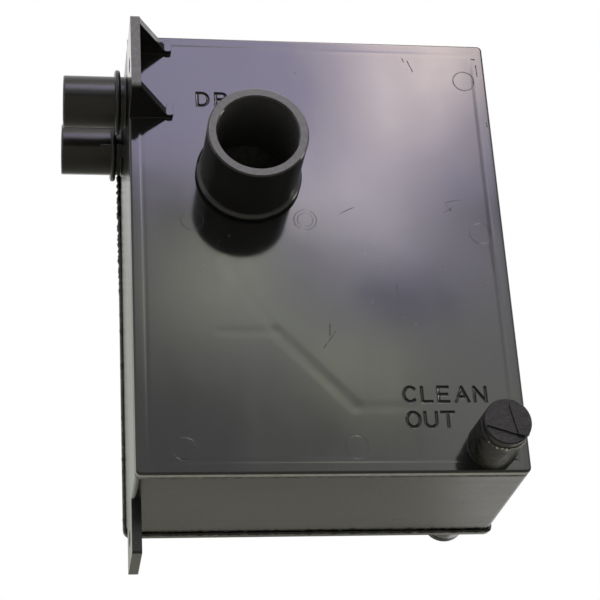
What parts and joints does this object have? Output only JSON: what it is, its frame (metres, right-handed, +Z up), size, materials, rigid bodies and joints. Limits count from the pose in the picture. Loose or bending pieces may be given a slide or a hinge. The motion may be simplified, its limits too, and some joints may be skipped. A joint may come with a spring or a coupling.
{
  "type": "condensate trap",
  "caption": "Flat welded plastic condensate trap with side inlet stubs, a beaded drain stub, a braced screw tab, a screw ear and threaded clean-out plugs.",
  "frame": {"origin": "On the outer face of the mounting wall, in the middle of the box's depth and height.", "axes": "+X goes from the mounting wall through the box, -Y is the way the drain and the lettered face look, +Z is up as installed."},
  "size_m": [0.1211, 0.087, 0.1458],
  "materials": {
    "body_plastic": "semi-gloss moulded black",
    "cover_plastic": "semi-gloss moulded black",
    "rear_plastic": "semi-gloss moulded black",
    "plug_plastic": "satin moulded black",
    "seal_rubber": "matte black rubber"
  },
  "bodies": {
    "housing": {"trap_body": "body_plastic", "front_cover": "cover_plastic", "rear_cover": "rear_plastic"},
    "front_seal": {"front_cleanout_seal": "seal_rubber"},
    "front_plug": {"front_cleanout_plug": "plug_plastic"},
    "rear_seal": {"rear_cleanout_seal": "seal_rubber"},
    "rear_plug": {"rear_cleanout_plug": "plug_plastic"}
  },
  "joints": [
    {"name": "front_plug_travel", "type": "slide", "parent": "housing", "child": "front_seal", "axis": [0, -1, 0], "range_m": [0, 0.0075]},
    {"name": "front_plug_turn", "type": "hinge", "parent": "front_seal", "child": "front_plug", "pos_m": [0.0928, -0.025, -0.058], "axis": [0, -1, 0], "range_deg": [0, 1800]},
    {"name": "rear_plug_travel", "type": "slide", "parent": "housing", "child": "rear_seal", "axis": [0, 1, 0], "range_m": [0, 0.0075]},
    {"name": "rear_plug_turn", "type": "hinge", "parent": "rear_seal", "child": "rear_plug", "pos_m": [0.0928, 0.025, -0.058], "axis": [0, 1, 0], "range_deg": [0, 1800]}
  ],
  "couplings": [
    {"joint": "front_plug_turn", "follows": "front_plug_travel", "rad_per_m": 4188.8},
    {"joint": "rear_plug_turn", "follows": "rear_plug_travel", "rad_per_m": 4188.8}
  ]
}
